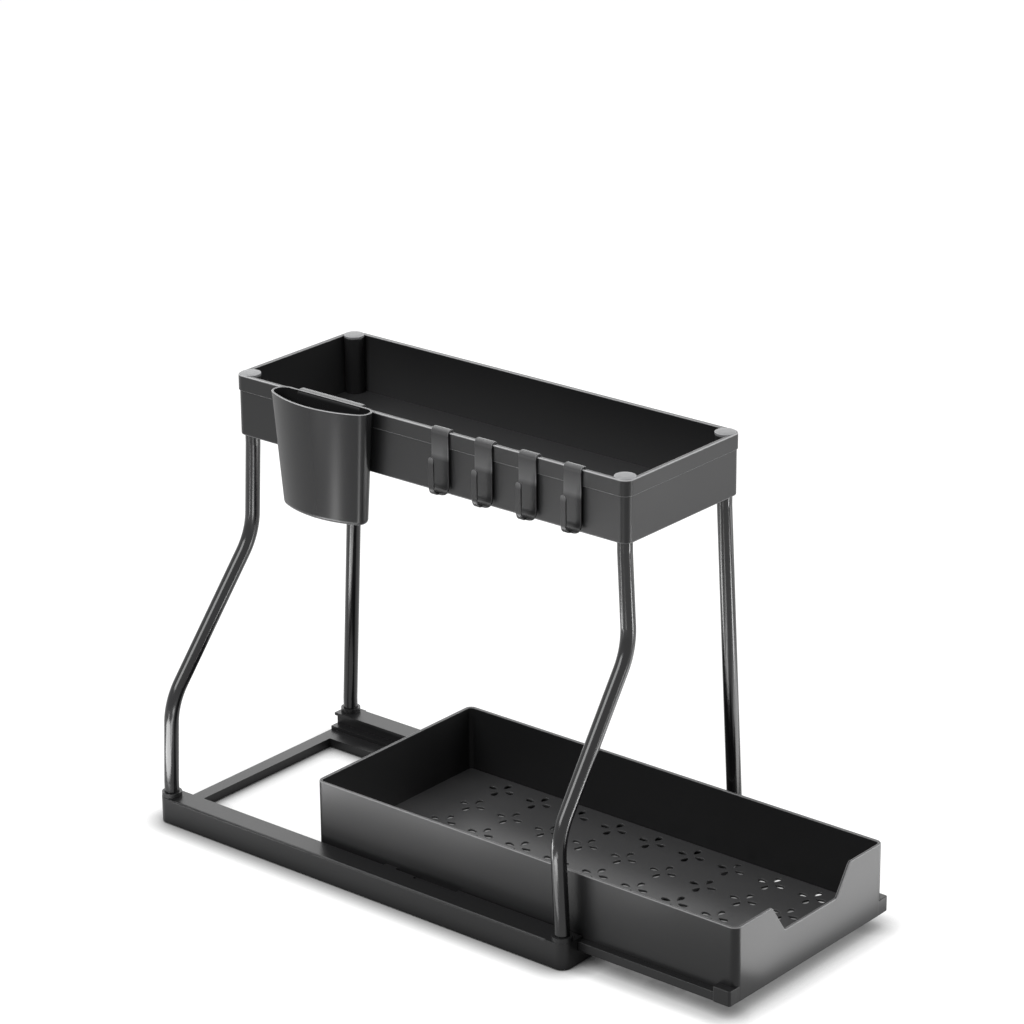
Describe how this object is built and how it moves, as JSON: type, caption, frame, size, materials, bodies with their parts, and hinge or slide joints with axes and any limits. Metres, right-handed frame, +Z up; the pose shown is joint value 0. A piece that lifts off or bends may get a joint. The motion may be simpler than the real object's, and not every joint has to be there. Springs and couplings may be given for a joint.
{
  "type": "under sink organizer",
  "caption": "Two-level under sink organizer: base frame with a pull-out perforated drawer, bent tube legs, a narrow upper tray, a hanging cup and hooks.",
  "frame": {"origin": "on the floor, under the middle of the whole outline with the drawer drawn out as in the picture", "axes": "+Z up; +Y to the rear, the drawer pulls out towards -Y; the cup and hooks hang on the -X side of the upper tray"},
  "size_m": [0.2232, 0.54, 0.3471],
  "materials": {
    "black_plastic": "satin moulded plastic",
    "black_tube": "glossy black powder coat",
    "grey_cap": "satin light grey plastic",
    "screw_steel": "zinc plated",
    "foot_rubber": "matt"
  },
  "bodies": {
    "rack": {"base_frame": "black_plastic", "left_front_leg": "black_tube", "left_rear_leg": "black_tube", "right_front_leg": "black_tube", "right_rear_leg": "black_tube", "leg_base_plugs": "black_plastic", "leg_top_plugs": "black_plastic", "base_screws": "screw_steel", "tray_screws": "screw_steel", "left_front_foot": "foot_rubber", "left_rear_foot": "foot_rubber", "right_front_foot": "foot_rubber", "right_rear_foot": "foot_rubber", "upper_tray": "black_plastic", "left_front_cap": "grey_cap", "left_rear_cap": "grey_cap", "right_front_cap": "grey_cap", "right_rear_cap": "grey_cap"},
    "drawer": {"drawer": "black_plastic"},
    "cup": {"cup": "black_plastic"},
    "hook_1": {"hook_1": "black_plastic"},
    "hook_2": {"hook_2": "black_plastic"},
    "hook_3": {"hook_3": "black_plastic"},
    "hook_4": {"hook_4": "black_plastic"}
  },
  "joints": [
    {"name": "drawer_slide", "type": "slide", "parent": "rack", "child": "drawer", "axis": [0, -1, 0], "range_m": [-0.1202, 0.0597]},
    {"name": "cup_lift", "type": "slide", "parent": "rack", "child": "cup", "axis": [0, 0, 1], "range_m": [0, 0.1]},
    {"name": "hook_1_lift", "type": "slide", "parent": "rack", "child": "hook_1", "axis": [0, 0, 1], "range_m": [0, 0.055]},
    {"name": "hook_2_lift", "type": "slide", "parent": "rack", "child": "hook_2", "axis": [0, 0, 1], "range_m": [0, 0.055]},
    {"name": "hook_3_lift", "type": "slide", "parent": "rack", "child": "hook_3", "axis": [0, 0, 1], "range_m": [0, 0.055]},
    {"name": "hook_4_lift", "type": "slide", "parent": "rack", "child": "hook_4", "axis": [0, 0, 1], "range_m": [0, 0.055]}
  ]
}
